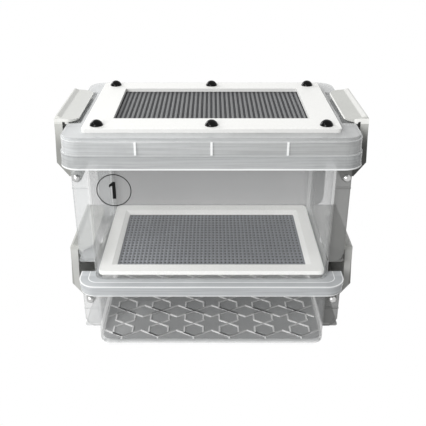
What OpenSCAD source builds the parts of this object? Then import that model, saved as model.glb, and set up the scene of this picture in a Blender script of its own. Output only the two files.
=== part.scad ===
// Cricket keeper box: a clear lower tray, a clear upper box and a clear vented lid,
// clamped together by four hinged side latches. Front is -Y, Z is up, base at Z = 0.

/* [Boxes] */
// Outside width of both box bodies
body_w = 192; // [184:1:220]
// Outside depth of both box bodies
body_d = 131; // [126:1:150]
// Outside radius of the upright body corners
body_r = 10; // [8:0.5:10]
// Thickness of the clear walls
wall = 2.2; // [1.8:0.1:2.6]
// Thickness of the tray floor
tray_floor_t = 3.2; // [2:0.1:4]
// Thickness of the upper box floor
box_floor_t = 2.5; // [2:0.1:3.5]
// Height of the lower tray, from its base to its rim top
tray_h = 64.2; // [62:0.2:84]
// Height of the upper box, from its base to its rim top
box_h = 112; // [96:1:150]
// Depth of the locating skirt of the upper box below the tray rim top
skirt_depth = 4; // [2:0.5:6]
// Thickness of the locating skirt
skirt_t = 1.8; // [1.2:0.1:2.4]
// Gap between the locating skirt and the inside of the tray
skirt_gap = 0.6; // [0.4:0.1:1]

/* [Rims] */
// How far the tray rim stands out past the body at the sides
tray_rim_out = 12; // [11.5:0.1:14]
// How far the upper rim stands out past the body at the sides
box_rim_out = 15.9; // [15.5:0.1:18]
// How far both rims stand out past the body at front and back
rim_front_out = 11.7; // [9:0.1:13]
// Outside corner radius of the rims
rim_r = 15; // [12:0.5:18]
// Height of the tray rim skirt
tray_rim_h = 9.2; // [7:0.2:11]
// Height of the upper rim skirt
box_rim_h = 11.2; // [7:0.2:12]
// Thickness of the rim flanges and skirts
rim_t = 2.2; // [1.6:0.2:2.6]
// Height of the stepped band at the foot of the tray rim
band_h = 5.3; // [2:0.1:6]
// How far the stepped band stands back from the rim face
band_in = 0.7; // [0.4:0.1:1]
// Height of the bead at the foot of the upper rim
bead_h = 1.4; // [1:0.1:3]

/* [Ears] */
// How far the outer faces of the ears lie in from the front and back of the body
ear_in = 10.2; // [10:0.1:14]
// Thickness of one ear plate
ear_t = 3; // [2.4:0.2:3.6]
// How far the ears stand out from the body side
ear_out = 12; // [11.6:0.1:12]
// Height of the foot of the ears above the box base
ear_foot = 10.8; // [9.6:0.2:11]
// Size of the slanting cut at the lower outer corner of an ear
ear_cut = 6.4; // [4:0.2:7]
// Distance of the stiffening rib below the hinge pin
rib_drop = 8.3; // [7:0.1:10]
// Thickness and height of that rib
rib_t = 1.2; // [0.8:0.1:1.6]
// Height of the top of the side ledge above the box base
ledge_top = 11.5; // [11:0.1:12.5]
// Thickness of the side ledge
ledge_t = 2.5; // [2:0.1:3]

/* [Lid] */
// Height of the lid deck above the upper rim top
lid_h = 13.2; // [12:0.2:18]
// Height of the deck above the shoulder of the lid skirt
deck_step = 2.1; // [2:0.1:2.2]
// How far the deck edge stands in from the skirt
deck_in = 1.2; // [0.6:0.1:2]
// Thickness of the lid deck
deck_t = 2.4; // [2.2:0.1:3]
// Thickness of the lid skirt
lid_t = 2.2; // [1.6:0.1:2.6]
// Depth of the plug ring below the rim top
plug_depth = 5; // [3:0.5:8]
// Thickness of the plug ring
plug_t = 1.6; // [1.2:0.1:2]
// Gap between the plug ring and the inside of the upper box
plug_gap = 0.8; // [0.6:0.1:1.2]
// Spacing of the small upright ribs on the lid skirt
skirt_rib_pitch = 55; // [40:1:70]
// Width of those ribs
skirt_rib_w = 1.6; // [1:0.2:3]
// How far those ribs stand out
skirt_rib_out = 0.6; // [0.4:0.1:1]

/* [Top vent] */
// How far the top vent frame lies in from the body sides
plate_in_x = 0.4; // [0.4:0.2:6]
// How far the top vent frame lies in from the body front and back
plate_in_y = 1.2; // [1:0.2:6]
// Thickness of the top vent frame
plate_t = 3; // [2:0.2:4]
// Corner radius of the top vent frame
plate_r = 3; // [1:0.5:5]
// Width of the side bars of the top vent frame
plate_bar_x = 20.6; // [18:0.2:30]
// Width of the front and back bars of the top vent frame
plate_bar_y = 22.1; // [21:0.1:28]
// How far the top window lies behind the middle
window_back = 2.6; // [0:0.1:3]
// Distance of the corner screws from the sides of the frame
screw_in_x = 10.3; // [8:0.1:12]
// Distance of the screws from the front and back of the frame
screw_in_y = 8.6; // [8:0.1:10]
// Diameter of the domed screw heads
head_d = 10; // [8:0.2:11]
// Height of the domed screw heads
head_h = 4.2; // [3:0.1:4.8]
// Diameter of the screw shanks
screw_d = 4; // [3:0.1:4.4]
// Gap round a screw shank in the lid and the frame
screw_gap = 0.2; // [0.1:0.05:0.4]
// Width of the nuts across their flats
nut_w = 7; // [6:0.1:7.4]
// Thickness of the nuts
nut_h = 3.2; // [2.4:0.1:4]

/* [Mesh] */
// Thickness of both mesh sheets
mesh_t = 0.9; // [0.5:0.1:1]
// Gap above a mesh sheet in its recess
mesh_gap = 0.1; // [0:0.05:0.2]
// How far a mesh sheet reaches past its window
mesh_lap = 4.5; // [3:0.5:5]
// Number of gaps across the mesh
mesh_cols = 39; // [12:1:39]
// Number of gaps along the mesh
mesh_rows = 7; // [3:1:7]
// Width of the bars of the mesh
mesh_bar = 1.4; // [0.8:0.1:1.6]

/* [Floor vent] */
// Gap between the floor frame and the side walls
frame_gap_x = 1.4; // [1:0.1:4]
// Gap between the floor frame and the front and back walls
frame_gap_y = 1.1; // [0.6:0.1:3]
// Thickness of the floor vent frame
frame_t = 3.5; // [3:0.1:6]
// Corner radius of the floor vent frame
frame_r = 4; // [2:0.5:8]
// Width of the side bars of the floor frame
frame_bar_x = 13.4; // [11:0.2:20]
// Width of the front and back bars of the floor frame
frame_bar_y = 14.2; // [11:0.2:20]
// Width of the bevel round the floor window
bevel_w = 3.7; // [1:0.1:5]
// Depth of the bevel round the floor window
bevel_h = 2.2; // [1:0.1:2.6]

/* [Latches] */
// How far a latch ends short of the ears, at each end
latch_short = 11.3; // [8:0.1:16]
// Thickness of the latch wall
latch_t = 2.2; // [1.8:0.1:2.6]
// Distance of the outer wall of a latch from its hinge axis
latch_out = 17.2; // [16.8:0.1:18]
// Height of the lower edge of the outer wall above the hinge axis
latch_knee = 7.5; // [7:0.1:8.5]
// How far the outer wall leans in towards its top
latch_lean = 1.1; // [0.6:0.1:1.4]
// Width of the end flanges of a latch
flange_w = 6.4; // [5:0.1:7]
// Thickness of the end flanges of a latch
flange_t = 1.8; // [1.4:0.1:2.4]
// Height of the clamped edge above the hinge axis
reach = 38; // [36:0.5:40]
// Distance of the clamped edge outside the hinge axis
grip = 6.6; // [6.4:0.1:6.8]
// How far the catch reaches in under the clamped edge
catch_over = 1.5; // [1:0.1:1.5]
// Gap between the closed catch and the clamped edge
catch_gap = 0.8; // [0.7:0.1:1]
// Width of the catch rib
catch_w = 2.2; // [1.6:0.1:2.6]
// How far the tip reaches inward past the hinge axis
tip_in = 2.2; // [1.6:0.1:2.2]
// Thickness of the tip
tip_t = 1; // [0.8:0.1:1.4]
// Radius of the rounded corners of the tip
tip_r = 9; // [4:0.5:11]
// Height of the finger lip above the latch top
lip_h = 1.5; // [1:0.1:2.5]
// How far the finger lip ends short of the latch ends
lip_short = 2; // [1:0.5:6]
// Radius of the hinge barrel
barrel_r = 4; // [3.6:0.1:4.2]
// Gap between the hinge barrel and the ears
barrel_gap = 0.5; // [0.3:0.1:1]

/* [Hinge pins] */
// Distance of the tray hinge pins from the body side
tray_pin_out = 6.4; // [6.2:0.1:6.6]
// Distance of the upper hinge pins from the body side
box_pin_out = 8.3; // [8:0.1:8.5]
// Diameter of the hinge pins
pin_d = 4; // [3:0.1:4.4]
// Diameter of the domed pin ends
pin_head_d = 6.6; // [5.6:0.1:7]
// Height of the domed pin ends
pin_head_h = 2; // [1.2:0.1:2.4]
// Gap all round between a pin and the latch barrel
pin_play = 0.06; // [0.03:0.01:0.08]

/* [Hidden] */
eps = 0.01;
$fn = 48;
base_z = tray_h;
rim_z = tray_h + box_h;
deck_z = rim_z + lid_h;
seat_z = deck_z - deck_step;
half_w = body_w / 2;
half_d = body_d / 2;
inner_w = body_w - 2 * wall;
inner_d = body_d - 2 * wall;
inner_r = body_r - wall;
tray_pin_x = half_w + tray_pin_out;
box_pin_x = half_w + box_pin_out;
tray_pin_z = base_z + ledge_top - reach;
box_pin_z = seat_z - reach;
lid_w = 2 * (box_pin_x + grip);
lid_d = body_d + 2 * rim_front_out;
ear_y = half_d - ear_in;
gap_y = ear_y - ear_t;
latch_l = 2 * (gap_y - latch_short);
seat_y = latch_l / 2 + 1.5;
recess = mesh_t + mesh_gap;
mesh_r = 2;
plate_w = body_w - 2 * plate_in_x;
plate_d = body_d - 2 * plate_in_y;
window_w = plate_w - 2 * plate_bar_x;
window_d = plate_d - 2 * plate_bar_y;
screw_x = plate_w / 2 - screw_in_x;
screw_y = plate_d / 2 - screw_in_y;
frame_z = base_z + box_floor_t;
frame_w = inner_w - 2 * frame_gap_x;
frame_d = inner_d - 2 * frame_gap_y;
floor_w = frame_w - 2 * frame_bar_x;
floor_d = frame_d - 2 * frame_bar_y;
clear = "#C9CDCC";
white = "#F4F4EE";
ivory = "#DEDDD6";

// Flat rounded rectangle, centred on the origin
module plan(w, d, r) {
    square([w - 2 * r, d], center = true);
    square([w, d - 2 * r], center = true);
    for (x = [-1, 1], y = [-1, 1])
        translate([x * (w / 2 - r), y * (d / 2 - r)]) circle(r);
}

module slab(w, d, r, z0, z1) {
    translate([0, 0, z0]) linear_extrude(z1 - z0) plan(w, d, r);
}

// Outline in X and Z, pushed out evenly to both sides of Y = 0
module along_y(length) {
    translate([0, length / 2, 0]) rotate([90, 0, 0]) linear_extrude(length) children();
}

module rod_y(x, z, d, length) {
    translate([x, length / 2, z]) rotate([90, 0, 0]) cylinder(d = d, h = length);
}

// The right side and its mirror image
module both_sides() {
    children();
    mirror([1, 0, 0]) children();
}

// Plain box body: four walls and a floor, open at the top
module walls(z0, z1, floor_t) {
    difference() {
        slab(body_w, body_d, body_r, z0, z1);
        slab(inner_w, inner_d, inner_r, z0 + floor_t, z1 + 1);
    }
}

// Rim round the outside of a box: top flange and hanging skirt, with a step or bead at the
// foot, cut away beside the latches. A positive foot_out makes a bead, a negative one a step.
module rim(top, side_out, h, foot_h, foot_out) {
    w = body_w + 2 * side_out;
    d = body_d + 2 * rim_front_out;
    difference() {
        union() {
            slab(w, d, rim_r, top - h + foot_h - eps, top);
            slab(w + 2 * foot_out, d + 2 * foot_out, rim_r + foot_out, top - h, top - h + foot_h);
        }
        slab(w - 2 * rim_t, d - 2 * rim_t, rim_r - rim_t, top - h - 1, top - rim_t);
        slab(body_w - wall, body_d - wall, body_r - wall / 2, top - rim_t - 1, top + 1);
        both_sides() translate([half_w - wall / 2, -gap_y, top - h - 1])
            cube([side_out + wall + 2, 2 * gap_y, h + 2]);
    }
}

// Two ear plates on the right side that carry the hinge pin, with an outside rib on each,
// and the ledge between their feet
module ears(z0, z1, pin_x, pin_z) {
    x0 = half_w - wall / 2;
    x1 = half_w + ear_out;
    foot = z0 + ear_foot;
    nose = half_w + tray_pin_out + grip;
    top = z0 + ledge_top;
    for (s = [-1, 1]) translate([0, s * (ear_y - ear_t / 2), 0]) difference() {
        along_y(ear_t) polygon([[x0, foot], [x1 - ear_cut, foot], [x1 - 2.4, foot + 2.6],
            [x1, foot + ear_cut + 1.5], [x1, z1], [x0, z1]]);
        rod_y(pin_x, pin_z, pin_d, ear_t + 2);
    }
    for (s = [-1, 1])
        translate([x0, s * (ear_y + rib_t / 2) - rib_t / 2 - eps, pin_z - rib_drop])
            cube([x1 - x0, rib_t + 2 * eps, rib_t]);
    along_y(2 * gap_y + eps) polygon([[x0, top - ledge_t], [nose - 1, top - ledge_t],
        [nose, top - ledge_t + 1], [nose, top - 0.4], [nose - 0.4, top], [x0, top]]);
}

module lower_tray() {
    color(clear) {
        walls(0, tray_h, tray_floor_t);
        rim(tray_h, tray_rim_out, tray_rim_h, band_h, -band_in);
        both_sides() ears(0, tray_h - rim_t + eps, tray_pin_x, tray_pin_z);
    }
}

module upper_box() {
    color(clear) {
        difference() {
            union() {
                walls(base_z, rim_z, box_floor_t);
                // skirt that drops inside the tray
                difference() {
                    slab(inner_w - 2 * skirt_gap, inner_d - 2 * skirt_gap, inner_r - skirt_gap,
                        base_z - skirt_depth, base_z + eps);
                    slab(inner_w - 2 * (skirt_gap + skirt_t), inner_d - 2 * (skirt_gap + skirt_t),
                        inner_r - skirt_gap - skirt_t, base_z - skirt_depth - 1, base_z + eps);
                }
            }
            slab(floor_w, floor_d, 1, base_z - 1, frame_z + 1);
            slab(floor_w + 2 * mesh_lap + 0.4, floor_d + 2 * mesh_lap + 0.4, mesh_r,
                frame_z - recess, frame_z + eps);
        }
        rim(rim_z, box_rim_out, box_rim_h, bead_h, 0.4);
        both_sides() ears(base_z, rim_z - rim_t + eps, box_pin_x, box_pin_z);
    }
}

module lid() {
    color(clear) difference() {
        union() {
            difference() {
                union() {
                    slab(lid_w, lid_d, rim_r, rim_z, seat_z);
                    slab(lid_w - 2 * deck_in, lid_d - 2 * deck_in, rim_r - deck_in, seat_z - eps, deck_z);
                }
                slab(lid_w - 2 * lid_t, lid_d - 2 * lid_t, rim_r - lid_t, rim_z - 1, deck_z - deck_t);
            }
            // plug ring that drops inside the upper box
            difference() {
                slab(inner_w - 2 * plug_gap, inner_d - 2 * plug_gap, inner_r - plug_gap,
                    rim_z - plug_depth, deck_z - deck_t + eps);
                slab(inner_w - 2 * (plug_gap + plug_t), inner_d - 2 * (plug_gap + plug_t),
                    inner_r - plug_gap - plug_t, rim_z - plug_depth - 1, deck_z);
            }
            // thicker edge under each latch seat
            both_sides() translate([half_w + 1, -seat_y - 2, seat_z - deck_t])
                cube([lid_w / 2 - half_w - 1.5, 2 * seat_y + 4, deck_t]);
            for (i = [-1:1], s = [-1, 1])
                translate([i * skirt_rib_pitch - skirt_rib_w / 2,
                    s * (lid_d / 2 + skirt_rib_out / 2) - skirt_rib_out / 2 - 0.2, rim_z + 0.6])
                    cube([skirt_rib_w, skirt_rib_out + 0.4, seat_z - rim_z - 1]);
        }
        // sunk seats for the latch tips
        both_sides() translate([half_w + 3.5, -seat_y, seat_z])
            cube([lid_w / 2 - half_w, 2 * seat_y, deck_step + 1]);
        translate([0, window_back, 0]) {
            slab(window_w, window_d, 1, deck_z - deck_t - 1, deck_z + 1);
            slab(window_w + 2 * mesh_lap + 0.4, window_d + 2 * mesh_lap + 0.4, mesh_r,
                deck_z - recess, deck_z + 1);
        }
        at_screws(deck_z - deck_t - 1) cylinder(d = screw_d + 2 * screw_gap, h = deck_t + 2);
    }
}

module at_screws(z) {
    for (x = [-1:1], y = [-1, 1]) translate([x * screw_x, y * screw_y, z]) children();
}

module top_vent_frame() {
    color(white) difference() {
        slab(plate_w, plate_d, plate_r, deck_z, deck_z + plate_t);
        translate([0, window_back, 0])
            slab(window_w, window_d, 0.8, deck_z - 1, deck_z + plate_t + 1);
        at_screws(deck_z - 1) cylinder(d = screw_d + 2 * screw_gap, h = plate_t + 2);
    }
}

// Flat sheet with straight rows of gaps over its window
module mesh_sheet(w, d, z) {
    step_x = (w - mesh_bar) / mesh_cols;
    step_y = (d - mesh_bar) / mesh_rows;
    translate([0, 0, z]) linear_extrude(mesh_t) difference() {
        plan(w + 2 * mesh_lap, d + 2 * mesh_lap, mesh_r);
        for (i = [0:mesh_cols - 1], j = [0:mesh_rows - 1])
            translate([mesh_bar - w / 2 + i * step_x, mesh_bar - d / 2 + j * step_y])
                square([step_x - mesh_bar, step_y - mesh_bar]);
    }
}

module top_vent_mesh() {
    color("#5A5D60") translate([0, window_back, 0]) mesh_sheet(window_w, window_d, deck_z - recess);
}

module floor_vent_mesh() {
    color("#70747C") mesh_sheet(floor_w, floor_d, frame_z - recess);
}

// Low dome, flat side down
module dome(d, h) {
    r = (d * d / 4 + h * h) / (2 * h);
    intersection() {
        translate([0, 0, h - r]) sphere(r);
        cylinder(d = d + 1, h = h + 1);
    }
}

module vent_screws() {
    color("#141414") {
        at_screws(deck_z + plate_t) dome(head_d, head_h);
        at_screws(deck_z - deck_t - nut_h - 0.8)
            cylinder(d = screw_d, h = deck_t + nut_h + plate_t + 1.3);
    }
}

module vent_nuts() {
    color("#8E9194") at_screws(deck_z - deck_t - nut_h) difference() {
        cylinder(d = nut_w / cos(30), h = nut_h, $fn = 6);
        translate([0, 0, -1]) cylinder(d = screw_d, h = nut_h + 2);
    }
}

// White frame on the upper box floor, with a bevel round its window
module floor_vent_frame() {
    top = frame_z + frame_t;
    color(white) difference() {
        slab(frame_w, frame_d, frame_r, frame_z, top);
        slab(floor_w, floor_d, 1, frame_z - 1, top + 1);
        intersection() {
            translate([0, 0, top]) along_y(frame_d) bevel_section(floor_w / 2);
            translate([0, 0, top]) rotate(90) along_y(frame_w) bevel_section(floor_d / 2);
        }
    }
}

module bevel_section(w) {
    polygon([[-w, -bevel_h], [w, -bevel_h], [w + bevel_w, 0], [w + bevel_w, 1],
        [-w - bevel_w, 1], [-w - bevel_w, 0]]);
}

// Cross-section of a latch about its hinge axis: slanting foot, outer wall, top with the
// catch under it, and finger lip
module latch_section(lip) {
    under = reach + 3;
    top = under + tip_t + 1.3;
    wall_x = latch_out - latch_lean;
    in_x = wall_x - latch_t;
    c = grip - catch_over;
    cap = lip ? [[wall_x - 0.3, under - 0.2], [wall_x - 1.2, top + lip_h],
        [wall_x - 2.4, top + lip_h], [wall_x - 5.3, top + 0.1]] : [[wall_x - 0.3, top]];
    polygon(concat([[0, 0], [0, -barrel_r], [8.2, -4.3], [latch_out, latch_knee],
        [wall_x, reach - 8.3]], cap, [[wall_x - 5.8, top], [-tip_in, under + tip_t],
        [-tip_in, under], [c, under - 0.7], [c, reach + catch_gap],
        [c + catch_w, reach + catch_gap], [c + catch_w + 0.6, under - 0.5],
        [in_x - 1.2, under], [in_x - 0.2, under - 1.2], [in_x, reach - 8.3],
        [latch_out - latch_t, latch_knee + 0.9], [7, -1.7], [3.2, 1.4]]));
}

// End flange that stiffens the wall and foot of a latch
module latch_cheek() {
    wall_x = latch_out - latch_lean;
    polygon([[2, -2], [8.2, -4], [latch_out - 0.3, latch_knee], [wall_x - 0.3, reach - 8.3],
        [wall_x - 0.5, reach + 3.2], [wall_x - flange_w, reach + 3.2],
        [latch_out - flange_w, latch_knee + 2.4], [7.5, 1.6], [2, 3]]);
}

// A right-hand latch with its hinge axis on the Y axis
module latch() {
    difference() {
        union() {
            difference() {
                union() {
                    along_y(latch_l) latch_section(false);
                    along_y(latch_l - 2 * lip_short) latch_section(true);
                }
                // rounded corners of the tip
                for (s = [0, 1]) mirror([0, s, 0])
                    translate([-tip_in, latch_l / 2, reach + 1]) difference() {
                        translate([-1, -tip_r, 0]) cube([tip_r + 1, tip_r + 1, 6]);
                        translate([tip_r, -tip_r, -1]) cylinder(r = tip_r, h = 8);
                    }
            }
            for (s = [-1, 1]) translate([0, s * (latch_l - flange_t) / 2, 0])
                along_y(flange_t) latch_cheek();
            rod_y(0, 0, 2 * barrel_r, 2 * (gap_y - barrel_gap));
        }
        rod_y(0, 0, pin_d + 2 * pin_play, 2 * gap_y);
    }
}

module place_latch(side, x, z) {
    color(ivory) mirror([side < 0 ? 1 : 0, 0, 0]) translate([x, 0, z]) latch();
}

module latch_upper_left() { place_latch(-1, box_pin_x, box_pin_z); }
module latch_upper_right() { place_latch(1, box_pin_x, box_pin_z); }
module latch_lower_left() { place_latch(-1, tray_pin_x, tray_pin_z); }
module latch_lower_right() { place_latch(1, tray_pin_x, tray_pin_z); }

// Steel pin with a domed end outside each ear
module hinge_pin(side, x, z) {
    color("#B8BBBD") translate([side * x, 0, z]) {
        rod_y(0, 0, pin_d, 2 * ear_y + 0.6);
        for (s = [-1, 1]) translate([0, s * ear_y, 0]) rotate([-s * 90, 0, 0])
            dome(pin_head_d, pin_head_h);
    }
}

module hinge_pin_upper_left() { hinge_pin(-1, box_pin_x, box_pin_z); }
module hinge_pin_upper_right() { hinge_pin(1, box_pin_x, box_pin_z); }
module hinge_pin_lower_left() { hinge_pin(-1, tray_pin_x, tray_pin_z); }
module hinge_pin_lower_right() { hinge_pin(1, tray_pin_x, tray_pin_z); }

lower_tray();
upper_box();
lid();
top_vent_frame();
top_vent_mesh();
vent_screws();
vent_nuts();
floor_vent_frame();
floor_vent_mesh();
latch_upper_left();
latch_upper_right();
latch_lower_left();
latch_lower_right();
hinge_pin_upper_left();
hinge_pin_upper_right();
hinge_pin_lower_left();
hinge_pin_lower_right();
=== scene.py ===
import math
import bpy
import numpy as np
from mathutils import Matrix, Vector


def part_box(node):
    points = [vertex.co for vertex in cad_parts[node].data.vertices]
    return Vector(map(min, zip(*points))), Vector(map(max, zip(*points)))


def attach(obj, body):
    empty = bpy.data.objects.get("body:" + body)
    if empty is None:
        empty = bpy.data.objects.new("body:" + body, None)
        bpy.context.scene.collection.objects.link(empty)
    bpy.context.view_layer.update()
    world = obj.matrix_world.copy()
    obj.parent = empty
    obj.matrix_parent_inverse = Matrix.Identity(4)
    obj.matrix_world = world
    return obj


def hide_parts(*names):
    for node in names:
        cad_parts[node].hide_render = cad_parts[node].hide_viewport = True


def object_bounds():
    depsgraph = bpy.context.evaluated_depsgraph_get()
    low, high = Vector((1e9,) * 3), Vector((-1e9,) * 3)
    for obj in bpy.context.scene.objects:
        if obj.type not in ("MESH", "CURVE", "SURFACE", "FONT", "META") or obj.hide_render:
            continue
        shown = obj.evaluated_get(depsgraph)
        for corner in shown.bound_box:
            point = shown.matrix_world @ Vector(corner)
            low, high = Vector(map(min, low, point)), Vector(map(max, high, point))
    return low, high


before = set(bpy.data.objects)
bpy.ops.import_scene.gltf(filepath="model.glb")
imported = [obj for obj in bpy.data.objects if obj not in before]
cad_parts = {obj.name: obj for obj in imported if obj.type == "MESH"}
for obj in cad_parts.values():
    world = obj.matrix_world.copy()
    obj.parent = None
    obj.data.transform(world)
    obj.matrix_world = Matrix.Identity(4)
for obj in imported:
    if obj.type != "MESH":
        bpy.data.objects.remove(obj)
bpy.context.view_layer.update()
scene = bpy.context.scene
scene.view_settings.view_transform = "Standard"

# Camera: it stands in front of the box and above it, level from left to right, and looks down at it.
# Its shift only brings the box to its place in the picture. Places are in metres.
eye_place = (-0.0002, -0.5163, 0.3468)
eye_tilt = math.radians(63.76)
camera = bpy.data.cameras.new("camera")
camera.sensor_width = 36
camera.lens = 54.9
camera.shift_x = 0.0041
camera.clip_start = 0.01
eye = bpy.data.objects.new("camera", camera)
eye.location = eye_place
eye.rotation_euler = (eye_tilt, 0, 0)
scene.collection.objects.link(eye)
scene.camera = eye


# White surroundings: the eye, mirrors and clear parts see plain white. Every other surface gets soft light
# that is a little stronger from the left, from behind and from above.
class Socket:
    """One output of a shader node. Arithmetic on it adds Math nodes, so a pattern reads as a formula."""

    def __init__(self, nodes, output):
        self.nodes = nodes
        self.output = output

    def math(self, operation, *values):
        return self.nodes.add("Math", {"operation": operation}, dict(enumerate(values)))

    def __add__(self, other):
        return self.math("ADD", self, other)

    def __radd__(self, other):
        return self.math("ADD", other, self)

    def __sub__(self, other):
        return self.math("SUBTRACT", self, other)

    def __rsub__(self, other):
        return self.math("SUBTRACT", other, self)

    def __mul__(self, other):
        return self.math("MULTIPLY", self, other)

    def __rmul__(self, other):
        return self.math("MULTIPLY", other, self)

    def __abs__(self):
        return self.math("ABSOLUTE", self)

    def root(self):
        return self.math("SQRT", self)

    def most(self, other):
        return self.math("MAXIMUM", self, other)

    def least(self, other):
        return self.math("MINIMUM", self, other)

    def step(self, start, end):
        """0 before start and 1 after end, with a smooth rise between them. Start may be the higher one."""
        return self.nodes.add("MapRange", {"interpolation_type": "SMOOTHSTEP"},
                              {"Value": self, "From Min": start, "From Max": end})

    def line(self, centre, half, soft):
        """1 where the distance from centre is under half, falling to 0 over the next soft."""
        return abs(self - centre).step(half + soft, half)


class Nodes:
    """The shader nodes of the world or of a material."""

    def __init__(self, owner):
        owner.use_nodes = True
        self.tree = owner.node_tree

    def feed(self, target, value):
        """Gives an input a plain value, or links another node's output to it."""
        if isinstance(value, Socket):
            self.tree.links.new(value.output, target)
        else:
            target.default_value = value

    def add(self, kind, settings, inputs, *outputs):
        """Adds a node of a kind. Its settings come first, then its inputs, by name or number. Returns the
        outputs asked for, or else the first one."""
        node = self.tree.nodes.new("ShaderNode" + kind)
        for name, value in settings.items():
            setattr(node, name, value)
        for name, value in inputs.items():
            self.feed(node.inputs[name], value)
        found = [Socket(self, node.outputs[name]) for name in outputs or (0,)]
        return found if len(found) > 1 else found[0]


studio = bpy.data.worlds.new("studio")
scene.world = studio
sky = Nodes(studio)
direction = sky.add("TexCoord", {}, {}, "Generated")
east, north, up = sky.add("SeparateXYZ", {}, {0: direction}, "X", "Y", "Z")
plain_level = 0.5
more_from_left = 0.16
more_from_behind = 0.1
more_from_above = 0.1
light = plain_level - east * more_from_left + north * more_from_behind + up * more_from_above
to_eye, mirrored, through = sky.add("LightPath", {}, {}, "Is Camera Ray", "Is Glossy Ray",
                                    "Is Transmission Ray")
seen = to_eye.most(mirrored).most(through)
background = sky.tree.nodes["Background"]
sky.feed(background.inputs["Strength"], light + seen * (1 - light))
sky.feed(background.inputs["Color"], (1, 1, 1, 1))

# Lamps: a small one high on the left for highlights, and two wide soft ones, in front and behind. All
# three aim at the middle of the box. Places and widths are in metres, powers in watts.
aimed_at = np.array([0, 0, 0.1])
for name, place, width, power in (("key", (-0.8, -0.5, 1.1), 0.1, 2.6),
                                  ("front", (-0.5, -0.95, 0.6), 0.5, 8.5),
                                  ("back", (-0.9, 0.85, 0.6), 0.6, 9.0)):
    lamp = bpy.data.lights.new(name, "AREA")
    lamp.size = width
    lamp.energy = power
    aim = aimed_at - place
    holder = bpy.data.objects.new(name, lamp)
    holder.location = place
    holder.rotation_euler = (math.atan2(math.hypot(aim[0], aim[1]), -aim[2]), 0, math.atan2(-aim[0], aim[1]))
    scene.collection.objects.link(holder)


# Lower tray: one moulding of clear plastic with a stepped rim, ears for the hinge pins and ledges down its
# sides. The front wall can hardly be seen, and the back wall and the floor look grey. Painted highlights
# lie along the edges of the rim, the ridge on its top and the foot, with a painted shadow under the rim's
# step and painted shade on the right side. Sizes from here on are in millimetres, a thousand to the metre.
metre = 1000


class Surface(Nodes):
    """A Principled material with the object's own coordinates x, y and z in millimetres."""

    def __init__(self, name, **constants):
        self.material = bpy.data.materials.new(name)
        super().__init__(self.material)
        self.shader = self.tree.nodes["Principled BSDF"]
        self.set(**constants)
        metres = self.add("TexCoord", {}, {}, "Object")
        self.place = self.add("VectorMath", {"operation": "SCALE"}, {0: metres, "Scale": metre})
        self.x, self.y, self.z = self.add("SeparateXYZ", {}, {0: self.place}, "X", "Y", "Z")

    def set(self, **inputs):
        """Feeds inputs of the shader. An underscore in a name stands for a space."""
        for name, value in inputs.items():
            self.feed(self.shader.inputs[name.replace("_", " ")], value)

    def mix(self, factor, low, high):
        """Colour that goes from low to high with the factor. Both are colours or earlier mixes."""
        ends = [end if isinstance(end, Socket) else (*end, 1) for end in (low, high)]
        return self.add("Mix", {"data_type": "RGBA"}, {"Factor": factor, 6: ends[0], 7: ends[1]}, 2)

    def bump(self, height, depth):
        """Relief of that depth in millimetres, from a height between 0 and 1."""
        self.set(Normal=self.add("Bump", {}, {"Distance": depth / metre, "Height": height}))

    def noise(self, size, detail=2.0, place=None):
        """Noise from 0 to 1 whose blobs are about size wide."""
        inputs = {"Vector": place or self.place, "Scale": 1 / size, "Detail": detail}
        return self.add("TexNoise", {}, inputs, "Fac")

    def flow_marks(self):
        """Level streaks as left by the flow in the mould: noise drawn out forty times sideways, from 0 to 1
        with clear edges."""
        sideways = 1 / 40
        stretch = (sideways, sideways, 1)
        drawn_out = self.add("VectorMath", {"operation": "MULTIPLY"}, {0: self.place, 1: stretch})
        return self.noise(1.2, place=drawn_out).step(0.35, 0.7)

    def glancing(self, blend):
        """0 on a surface that faces the eye, and more the further it is turned away."""
        return self.add("LayerWeight", {}, {"Blend": blend}, "Facing")

    def outside(self, half_x, half_y, corner):
        """Distance to an upright outline with rounded corners, negative within it: the distance from the
        centre of the nearest corner, or from the line between two centres, less the corner's radius."""
        past_x = (abs(self.x) - (half_x - corner)).most(0.0)
        past_y = (abs(self.y) - (half_y - corner)).most(0.0)
        return (past_x * past_x + past_y * past_y).root() - corner

    def on(self, *names):
        """Gives the surface to nodes of the frame."""
        for name in names:
            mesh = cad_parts[name].data
            mesh.materials.clear()
            mesh.materials.append(self.material)


def corners(node):
    """The lowest and the highest corner of a node of the frame, in millimetres."""
    low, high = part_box(node)
    return np.array(low) * metre, np.array(high) * metre


def side_walls(surface):
    """1 on the side walls of a box, fading out towards its rounded corners."""
    return abs(surface.x).step(room_w - 1.3, room_w + 0.7) * abs(surface.y).step(half_d - 3.5, half_d - 7.5)


def outer_skin(outline, depth):
    """1 from a rim's outline down to a depth in it, fading out over the next 0.3."""
    return outline.step(-depth - 0.3, -depth)


half_w = 96.0
half_d = 65.5
wall = 2.2
room_w = half_w - wall
room_d = half_d - wall
floor_top = 3.2
tray_rim_w = 108.0
rim_d = corners("lower_tray")[1][1]
rim_corner = 15.0
tray_top = corners("lower_tray")[1][2]
rim_low = tray_top - 9.2
rim_step = tray_top - 4.2
ridge_in = 7.4
wave = 14.0
most_solid = 0.97
clear_grey = (0.62, 0.63, 0.63)
highlight_white = (0.95, 0.96, 0.96)

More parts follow.
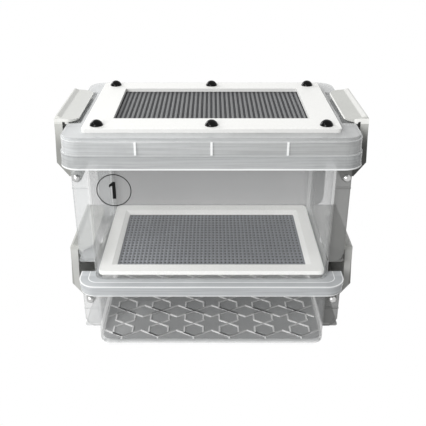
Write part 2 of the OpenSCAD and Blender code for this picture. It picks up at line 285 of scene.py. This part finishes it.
tray = Surface("tray_plastic", Roughness=0.12, IOR=1.45, Specular_IOR_Level=0.2)
floor = tray.z.step(floor_top + 0.4, floor_top + 0.1)
floor = floor * abs(tray.x).step(room_w - 0.1, room_w - 0.3) * abs(tray.y).step(room_d - 0.1, room_d - 0.3)
rim = tray.z.step(rim_low - 0.2, rim_low + 0.2)
behind = tray.y.step(half_d - 20.5, half_d - 2.5)
beside = side_walls(tray)
front = tray.y.step(5.5 - half_d, 1.5 - half_d) * abs(tray.x).step(half_w - 2, half_w - 10)
# Painted shade: the right side below the rim is painted darker and more solid, as if lit from the left.
shaded_right_side = tray.x.step(half_w - 0.5, half_w + 0.5) * (1 - rim)
rim_outline = tray.outside(tray_rim_w, rim_d, rim_corner)
skin = outer_skin(rim_outline, 0.8)
# Painted highlights: bright lines along the rim's edges, the foot and the ridge on the rim's top.
rim_edges = tray.z.line(rim_low + 0.2, 0.35, 0.3).most(tray.z.line(tray_top - 0.2, 0.3, 0.25)) * skin
foot_edge = tray.z.line(0.5, 0.5, 0.6)
ridge_highlight = rim_outline.line(-ridge_in, 0.2, 0.3) * tray.z.step(tray_top - 0.6, tray_top - 0.3)
edges = rim_edges.most(foot_edge).most(ridge_highlight)
step_shadow = tray.z.line(rim_step, 0.2, 0.2) * skin

colour = tray.mix(behind, clear_grey, (0.4, 0.405, 0.405))
colour = tray.mix(front, colour, (0.2, 0.205, 0.205))
colour = tray.mix(rim, colour, (0.66, 0.68, 0.695))
colour = tray.mix(shaded_right_side, colour, (0.2, 0.202, 0.197))
colour = tray.mix(floor, colour, (0.5, 0.505, 0.51))
colour = tray.mix(edges, colour, highlight_white)
colour = tray.mix(step_shadow, colour, (0.36, 0.365, 0.37))
solid = 0.02 + tray.glancing(0.3) * 0.25 + tray.noise(3.0) * 0.03
solid = solid + behind * 0.3 + beside * 0.2 + floor * 0.9 + shaded_right_side * 0.35
solid = solid + rim * (0.48 + tray.flow_marks() * 0.14) + edges * 0.4 + step_shadow * 0.3
tray.set(Base_Color=colour, Alpha=solid.least(most_solid))
tray.bump(tray.noise(wave), 0.02)
tray.on("lower_tray")


# Ribs of the tray floor: low six-sided rings of clear plastic in columns, corner to corner, moulded with
# the tray. From every second corner long arms run out and meet between the columns. The ribs that run
# forward to the right or straight back are painted bright as if lit, the others fainter as if in shade:
# painted light on two copies of one plastic, with a painted glint.
def piece(name, shape, surface, body, slot, *stands_for):
    """A mesh piece from points in millimetres and faces, with its material, riding on a body."""
    points, faces = shape
    mesh = bpy.data.meshes.new(name)
    mesh.from_pydata((points / metre).tolist(), [], faces)
    mesh.materials.append(surface.material)
    obj = bpy.data.objects.new(name, mesh)
    scene.collection.objects.link(obj)
    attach(obj, body)
    if stands_for:
        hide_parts(*stands_for)


def bars(profile, starts, ends):
    """Level bars with a closed profile, whose points are offsets across and up, anticlockwise. A point of a
    bar is its start or its end, plus across times the bar's level sideways direction, plus up times the
    vertical. Both ends are capped."""
    profile, starts, ends = (np.asarray(values, float) for values in (profile, starts, ends))
    count = len(profile)
    along = ends - starts
    sideways = np.stack([-along[:, 1], along[:, 0], 0 * along[:, 0]], 1)
    sideways /= np.linalg.norm(sideways, axis=1)[:, None]
    offsets = profile[:, :1] * sideways[:, None] + profile[:, 1:] * (0, 0, 1)
    points = np.stack([starts[:, None] + offsets, ends[:, None] + offsets], 1).reshape(-1, 3)
    near = np.arange(count)
    after = np.roll(near, -1)
    first = 2 * count * np.arange(len(starts))[:, None, None]
    sides = first + np.stack([near, after, after + count, near + count], 1)
    caps = first + np.stack([near[::-1], near + count])
    return points, sides.reshape(-1, 4).tolist() + caps.reshape(-1, count).tolist()


def row_of(count, pitch, middle=0.0):
    """Places of a row of like things, evenly spread about its middle."""
    return middle + (np.arange(count) - (count - 1) / 2) * pitch


ring_side = 9.5
ring_rows = 6
ring_columns = 6
column_pitch = 30.9
first_corner = -60.4
last_corner = first_corner + 2 * ring_side * ring_rows
rib_end = room_d - 0.1
rib_profile = [(-0.85, 0), (0.85, 0), (0.6, 0.8), (-0.6, 0.8)]
no_length = 1e-6

arm_x = column_pitch / 2
arm_y = arm_x * math.tan(math.radians(30))
turns = np.radians(60 * np.arange(7))
ring = ring_side * np.stack([np.sin(turns), np.cos(turns)], 1)
ribs = []
for column in row_of(ring_columns, column_pitch):
    for row in range(ring_rows):
        around = ring + (column, first_corner + ring_side * (2 * row + 1))
        ribs += zip(around[:-1].tolist(), around[1:].tolist())
    for row in range(0, ring_rows + 1, 2):
        corner = first_corner + 2 * ring_side * row
        ways = (1,) if row == 0 else (-1,) if row == ring_rows else (-1, 1)
        ribs += [((column, corner), (column + side * arm_x, corner + way * arm_y))
                 for side in (-1, 1) for way in ways]
    ribs.append(((column, -rib_end), (column, first_corner)))
    ribs.append(((column, last_corner), (column, rib_end)))
ribs = np.array([[(*end, floor_top) for end in rib] for rib in ribs])
across, back = (ribs[:, 1] - ribs[:, 0]).T[:2]
# Painted light: ribs of one direction are painted as lit and the rest as in shade.
bright = (across * back < -no_length) | (abs(across) < no_length)
for name, chosen, dullest, brightest, least_solid in (("floor_ribs_bright", bright, 1.0, 1.0, 0.95),
                                                      ("floor_ribs_faint", ~bright, 0.75, 0.95, 0.7)):
    rib = Surface(name, Roughness=0.15, IOR=1.45)
    glint = rib.noise(5.0)
    rib.set(Base_Color=rib.mix(glint, (dullest,) * 3, (brightest,) * 3), Alpha=glint * 0.1 + least_solid)
    piece(name, bars(rib_profile, ribs[chosen, 0], ribs[chosen, 1]), rib, "tray", "clear_plastic")

# Upper box: one moulding of the same clear plastic, which stands in the tray's rim. It has a clear front, a
# grey back wall, and ears and ledges at its sides. Its sides are painted paler as painted light, its right
# side darker as painted shade, and painted highlights run along the bead under its rim and its top edge.
box_rim_w = 111.9
box_top = corners("upper_box")[1][2]
box_rim_low = box_top - 11.2
box_floor = corners("floor_vent_frame")[0][2]
box = Surface("box_plastic", Roughness=0.12, IOR=1.45, Specular_IOR_Level=0.2)
rim = box.z.step(box_rim_low - 0.3, box_rim_low + 0.1)
behind = box.y.step(half_d - 25.5, half_d - 2.5) * box.z.step(box_floor - 0.7, box_floor + 1.3)
beside = side_walls(box)
ledge = abs(box.x).step(half_w + 0.2, half_w + 0.8) * (1 - rim)
# Painted shade: the right side below the rim is painted darker and more solid.
shaded_right_side = box.x.step(half_w - 0.5, half_w + 0.5) * (1 - rim)
skin = outer_skin(box.outside(box_rim_w, rim_d, rim_corner), 0.5)
# Painted highlights along the bead under the rim and, fainter, along the top edge.
bead = box.z.line(box_rim_low + 0.7, 0.45, 0.3)
top_edge = box.z.line(box_top - 0.2, 0.2, 0.25)
edges = bead.most(top_edge * 0.4) * skin

colour = box.mix(behind, clear_grey, (0.43, 0.432, 0.432))
# Painted light: the side walls are painted pale.
colour = box.mix(beside, colour, (0.93, 0.94, 0.94))
colour = box.mix(rim.most(ledge), colour, (0.64, 0.655, 0.66))
colour = box.mix(shaded_right_side, colour, (0.26, 0.262, 0.255))
colour = box.mix(edges, colour, highlight_white)
solid = 0.03 + box.glancing(0.3) * 0.35 + box.noise(3.0) * 0.03
solid = solid + behind * 0.5 + beside * 0.1 + ledge * 0.15 + shaded_right_side * 0.35
solid = solid + rim * (0.3 + box.flow_marks() * 0.14) + edges * 0.5
box.set(Base_Color=colour, Alpha=solid.least(most_solid))
box.bump(box.noise(wave), 0.02)
box.on("upper_box")


# Front mark: a plain black ring with the figure 1, printed near the top left corner of the upper box. It
# is a thin layer of ink that stands just proud of the front wall.
def joined(*shapes):
    """The points and faces of several shapes as one shape."""
    points = [shape[0] for shape in shapes]
    firsts = np.cumsum([0] + [len(part) for part in points])
    faces = [[first + corner for corner in face] for first, shape in zip(firsts.tolist(), shapes)
             for face in shape[1]]
    return np.concatenate(points), faces


mark_x = -74.2
mark_z = 143.8
wall_face = -half_d
ring_inner = 12.6
ring_outer = 13.3
ink_t = 0.12
ring_sides = 96
figure = [(-1.2, -7), (1.4, -7), (1.4, 7), (-0.4, 7), (-3.6, 4.6), (-3.6, 2.4), (-1.2, 3.8)]

ink = Surface("black_ink", Roughness=0.6, Specular_IOR_Level=0.08)
ink.set(Base_Color=ink.mix(ink.noise(0.8), (0.004, 0.004, 0.004), (0.012, 0.012, 0.012)))
turns = np.linspace(0, 2 * np.pi, ring_sides, endpoint=False)
section = [(ring_inner, 0), (ring_outer, 0), (ring_outer, ink_t), (ring_inner, ink_t)]
circles = []
for radius, proud in section:
    sideways = mark_x + radius * np.cos(turns)
    height = mark_z + radius * np.sin(turns)
    circles.append(np.stack([sideways, 0 * turns + wall_face - proud, height], 1))
here = np.arange(ring_sides)
after = np.roll(here, -1)
bands = [np.stack([here, after, after, here], 1) + ring_sides * np.array([side, side, other, other])
         for side, other in ((0, 1), (1, 2), (2, 3), (3, 0))]
round_mark = (np.concatenate(circles), np.concatenate(bands).tolist())
digit = bars(figure, [(mark_x, wall_face, mark_z)], [(mark_x, wall_face - ink_t, mark_z)])
piece("front_mark", joined(round_mark, digit), ink, "box", "black_screw")


# Floor vent mesh: a blue-grey woven mesh of flat strands that lies in the floor window under its frame.
# The strands leave small gaps. A thin dark sheet below them, with a faint pattern of holes, is painted shade
# that stands for the dark under the mesh and closes the view.
def from_middle(value, pitch):
    """Distance from the middle of the cell that a value falls in, in a row of cells that starts at 0."""
    cells = value * (1 / pitch)
    return abs(cells.math("FRACT", cells) - 0.5) * pitch


def strands(profile, node, axis, places, height, short):
    """Strands across a mesh node along axis 0 or 1, at places on the other axis. They lie that height over
    its underside and stop short of its edges."""
    low, high = corners(node)
    starts = np.zeros((len(places), 3))
    starts[:, 1 - axis] = places
    starts[:, 2] = low[2] + height
    ends = starts.copy()
    starts[:, axis] = low[axis] + short
    ends[:, axis] = high[axis] - short
    return bars(profile, starts, ends)


def shade_sheet(name, node, margin, body):
    """A thin level sheet within a node's box, in from its sides and up from its underside by a margin."""
    low, high = corners(node)
    left, front, under = low + margin
    right, back = (high - margin)[:2]
    outline = [(left, front), (right, front), (right, back), (left, back)]
    points = np.array([(*corner, height) for height in (under, under + shade_sheet_t) for corner in outline])
    faces = [(3, 2, 1, 0), (4, 5, 6, 7), (0, 1, 5, 4), (1, 2, 6, 5), (2, 3, 7, 6), (3, 0, 4, 7)]
    piece(name, (points, faces), under_shade, body, "mesh")


shade_sheet_t = 0.12
# Painted shade: a dark sheet with a faint pattern of lighter holes, put under the strands for the dark
# below.
under_shade = Surface("painted_shade_sheet", Roughness=0.6, Specular_IOR_Level=0.1)
hole_pitch = 0.62
holes = from_middle(under_shade.x, hole_pitch).step(0.2, 0.26) * from_middle(under_shade.y, hole_pitch).step(0.2, 0.26)
under_shade.set(Base_Color=under_shade.mix(holes, (0.03, 0.03, 0.035), (0.05, 0.05, 0.055)), Alpha=0.97 - holes * 0.25)
shade_sheet("floor_vent_shade_sheet", "floor_vent_mesh", (0.1, 0.1, 0.02), "box")

twist_pitch = 2.0
twist_slope = 0.6
strand = Surface("floor_mesh_metal", Metallic=0.1, IOR=1.45)
twist = from_middle(strand.y + strand.x * twist_slope, twist_pitch).step(0.3, 0.7)
colour = strand.mix(twist, (0.2, 0.21, 0.235), (0.34, 0.355, 0.39))
strand.set(Base_Color=colour, Roughness=0.4 + twist * 0.1)
flat = [(-0.95, 0), (0.95, 0), (0.95, 0.2), (0.5, 0.4), (-0.5, 0.4), (-0.95, 0.2)]
flat_wide = [(-1.2, 0), (1.2, 0), (1.1, 0.25), (-1.1, 0.25)]
lengthways = strands(flat, "floor_vent_mesh", axis=1, places=row_of(49, 3.4), height=0.4, short=0.3)
crossways = strands(flat_wide, "floor_vent_mesh", axis=0, places=row_of(21, 4.9), height=0.35, short=0.5)
weave = joined(lengthways, crossways)
piece("floor_vent_weave", weave, strand, "box", "mesh", "floor_vent_mesh")

# Lid: one moulding of clear plastic that sits on the upper box's rim. It looks whiter than the boxes, as
# its skirt, deck and plug ring lie behind each other. Its left side is painted whiter as painted light from
# the left, and the low ribs on the skirt and two edges carry painted highlights.
lid_w = corners("lid")[1][0]
deck = corners("lid")[1][2]
skirt_low = box_top
cover = Surface("lid_plastic", Roughness=0.14, IOR=1.45)
skin = outer_skin(cover.outside(lid_w, rim_d, rim_corner), 0.6)
# Painted highlights along the skirt's foot, the deck's edge and the low ribs on the skirt.
skirt_edge = cover.z.line(skirt_low + 0.4, 0.2, 0.2)
deck_edge = cover.z.line(deck - 2.5, 0.2, 0.3)
edges = (skirt_edge * 0.35 + deck_edge * 0.6) * skin
skirt_ribs = abs(cover.y).step(rim_d + 0.05, rim_d + 0.2)
# Painted light: whiter on the left, greyer towards the right.
colour = cover.mix(cover.x.step(-90, 110), (0.74, 0.755, 0.76), clear_grey)
colour = cover.mix(edges.most(skirt_ribs), colour, (0.96, 0.97, 0.97))
solid = 0.36 + cover.glancing(0.35) * 0.4 + cover.noise(4.0) * 0.06
solid = solid + cover.flow_marks() * 0.14 + edges * 0.35 + skirt_ribs * 0.5
cover.set(Base_Color=colour, Alpha=solid.least(most_solid))
cover.bump(cover.noise(10.0), 0.06)
cover.on("lid")

# Top vent mesh: grey flat strands that run from front to back over thin dark cross wires in the lid's
# window, held down by the white frame. A dark sheet under them is painted shade for the dark below the mesh.
low, high = corners("top_vent_mesh")
window_middle = (low[1] + high[1]) / 2
shade_sheet("top_vent_shade_sheet", "top_vent_mesh", (0.1, 0.2, 0.02), "lid")

twist_pitch = 1.3
strand = Surface("top_mesh_metal", Metallic=0.1, IOR=1.45)
twist = from_middle(strand.y + strand.x * twist_slope, twist_pitch).step(0.1, 0.42)
colour = strand.mix(twist, (0.08, 0.082, 0.084), (0.2, 0.204, 0.208))
strand.set(Base_Color=colour, Roughness=0.4 + twist * 0.1)
flat = [(-0.95, 0), (0.95, 0), (0.95, 0.25), (0.6, 0.5), (-0.6, 0.5), (-0.95, 0.25)]
weave = strands(flat, "top_vent_mesh", axis=1, places=row_of(40, 3.75), height=0.35, short=0.5)
piece("top_vent_weave", weave, strand, "lid", "mesh", "top_vent_mesh")

wire = Surface("dark_wire", Metallic=0.1, Roughness=0.5)
wire.set(Base_Color=wire.mix(wire.noise(1.0), (0.06, 0.062, 0.066), (0.22, 0.224, 0.228)))
diamond = [(-0.25, 0), (0, -0.14), (0.25, 0), (0, 0.14)]
places = row_of(46, 1.95, window_middle)
wires = strands(diamond, "top_vent_mesh", axis=0, places=places, height=0.3, short=0.5)
piece("top_vent_wires", wires, wire, "lid", "mesh")

# Vent frames: white sheet plastic with a faint satin grain. One is screwed to the lid, and painted shade
# darkens its side faces. The other lies on the upper box's floor and has a faint painted glow, painted
# light that makes up for the clear walls in front of it, which dim it.
for name, glow, edge_shade in (("top_vent_frame", 0.0, 1.0), ("floor_vent_frame", 0.25, 0.0)):
    top = corners(name)[1][2]
    # The glow is painted light, used on the floor frame only.
    plate = Surface(name + "_plastic", IOR=1.45, Emission_Color=(1, 1, 0.97, 1), Emission_Strength=glow)
    speck = plate.noise(0.9, 4.0)
    # Painted shade on the side faces of the top frame, below its top face.
    shaded_sides = plate.z.step(top - 0.1, top - 0.5) * edge_shade
    colour = plate.mix(speck.step(0.3, 0.7), (0.86, 0.86, 0.84), (0.93, 0.93, 0.91))
    colour = plate.mix(shaded_sides, colour, (0.74, 0.74, 0.725))
    plate.set(Base_Color=colour, Roughness=0.35 + speck * 0.15)
    plate.bump(speck, 0.02)
    plate.on(name)

# Vent screws: six glossy black domed screws that hold the white frame and the mesh to the lid. Their heads
# are moulded plastic with a faint unevenness in the gloss.
black = Surface("black_screw", IOR=1.5, Specular_IOR_Level=0.12)
worn = black.noise(1.5, 3.0)
colour = black.mix(worn, (0.001, 0.001, 0.001), (0.003, 0.003, 0.003))
black.set(Base_Color=colour, Roughness=0.06 + worn * 0.08)
black.on("vent_screws")

# Nuts and hinge pins: plain steel with fine turned marks. The nuts are under the lid, and the pins are
# pressed into the ears of the tray and of the upper box.
steel = Surface("steel", Metallic=1.0)
marks = steel.noise(0.5, 5.0)
colour = steel.mix(marks, (0.42, 0.42, 0.42), (0.68, 0.68, 0.67))
steel.set(Base_Color=colour, Roughness=0.22 + marks * 0.2)
steel.on("vent_nuts", "hinge_pin_upper_left", "hinge_pin_upper_right", "hinge_pin_lower_left",
         "hinge_pin_lower_right")

# Latches: ivory-grey moulded plastic with a fine matt grain, which swing on the hinge pins. Painted shade
# darkens the outer wall towards the foot, most on the right. Painted light makes the flanges on the left,
# the lips on the right and the hollow side of the lower latches lighter, and painted highlights lie on the
# thin edges of the catches.
upper_top = corners("latch_upper_right")[1][2]
upper_low = corners("latch_upper_right")[0][2]
upper_in = corners("latch_upper_right")[0][0]
lower_top = corners("latch_lower_right")[1][2]
lower_out = corners("latch_lower_right")[1][0]
plate_end = 41.0
ivory = Surface("ivory_plastic", IOR=1.45)
grain = ivory.noise(0.7, 4.0)
from_centre = abs(ivory.x)
upper = ivory.z.step(upper_low - 5, upper_low)
right = ivory.x.step(half_w - 16, half_w + 4)
# Painted shade: the outer wall darkens towards the foot, more on the right.
foot_shade = ivory.z.step(deck - 1.4, deck - 21.4) * upper
foot_shade = foot_shade + ivory.z.step(lower_top - 2.5, lower_top - 18.5) * 0.6
outer_wall = (from_centre + right * 5).step(half_w + 12, half_w + 17)
# Painted light: the flanges on the left are painted lighter.
flange = ivory.z.step(deck + 0.4, deck + 1.0)
# Painted light: the lips on the right are painted lighter.
lip = ivory.z.step(upper_top - 1.5, upper_top - 1.1).most(ivory.z.line(lower_top, 1.0, 0.3))
# Painted highlights on the thin edges of the catches, stronger on the right.
catch_edge = from_centre.line(upper_in + 2.0, 0.35, 0.2)
catch_edge = catch_edge.most(abs(ivory.y).step(plate_end - 0.4, plate_end - 0.1))
catch_edge = catch_edge * ivory.z.step(deck - 1.2, deck - 0.8)
# Painted light: the hollow side of the lower latches is painted lighter.
hollow = ivory.z.step(lower_top - 3.5, lower_top - 5.5) * from_centre.step(lower_out - 1.4, lower_out - 2.0)

colour = ivory.mix(ivory.noise(18.0), (0.49, 0.495, 0.47), (0.57, 0.575, 0.55))
colour = ivory.mix(flange * (1 - right), colour, (0.68, 0.685, 0.66))
colour = ivory.mix(foot_shade * outer_wall * (0.45 + right * 0.45), colour, (0.04, 0.04, 0.036))
colour = ivory.mix(lip * right, colour, (0.66, 0.66, 0.64))
colour = ivory.mix(catch_edge * (0.4 + right * 0.6), colour, (0.95, 0.95, 0.92))
colour = ivory.mix(hollow * 0.45, colour, (0.7, 0.7, 0.68))
ivory.set(Base_Color=colour, Roughness=0.4 + grain * 0.2)
ivory.bump(grain, 0.04)
ivory.on("latch_upper_left", "latch_upper_right", "latch_lower_left", "latch_lower_right")

# The box of what is shown, in metres.
low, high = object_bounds()
